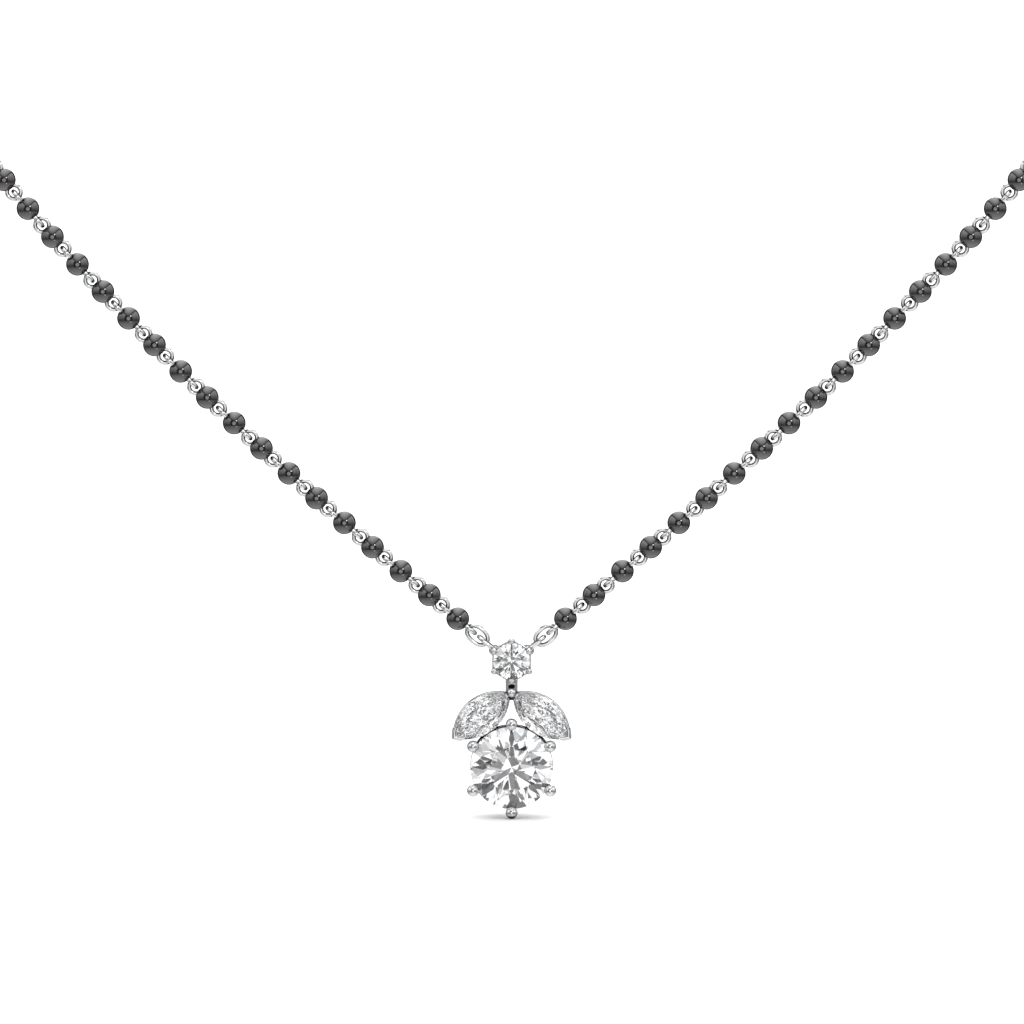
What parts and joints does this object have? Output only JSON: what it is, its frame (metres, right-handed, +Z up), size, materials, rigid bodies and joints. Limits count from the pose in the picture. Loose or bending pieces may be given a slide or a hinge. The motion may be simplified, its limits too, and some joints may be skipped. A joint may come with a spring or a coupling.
{
  "type": "mangalsutra necklace",
  "caption": "Worn necklace: strings of small black beads on metal wire links, a plain ring clasp at the nape and a hanging pendant of set stones.",
  "frame": {"origin": "the point of the nape that the clasp rests on, in the middle of the clasp's inner face", "axes": "+Z up, the front with the pendant faces -Y, +X towards the right of the picture; the neck is on the -Y side of the origin"},
  "size_m": [0.126, 0.1148, 0.1214],
  "materials": {
    "onyx": "polished black onyx",
    "white_gold": "polished, rhodium plated white gold",
    "diamond": "cut and polished"
  },
  "bodies": {
    "necklace": {"black_beads_left": "onyx", "black_beads_right": "onyx", "bead_wires_left": "white_gold", "bead_wires_right": "white_gold", "oval_link_left": "white_gold", "oval_link_right": "white_gold", "hook_link_left": "white_gold", "hook_link_right": "white_gold", "back_chain_left": "white_gold", "back_chain_right": "white_gold", "clasp": "white_gold", "clasp_ring": "white_gold"},
    "pendant": {"pendant_frame": "white_gold", "main_stone": "diamond", "marquise_left": "diamond", "marquise_right": "diamond", "top_stone": "diamond"}
  },
  "joints": [
    {"name": "pendant_swing", "type": "hinge", "parent": "necklace", "child": "pendant", "pos_m": [0, -0.11, -0.10404], "axis": [1, 0, 0], "range_deg": [-25, 25]}
  ]
}
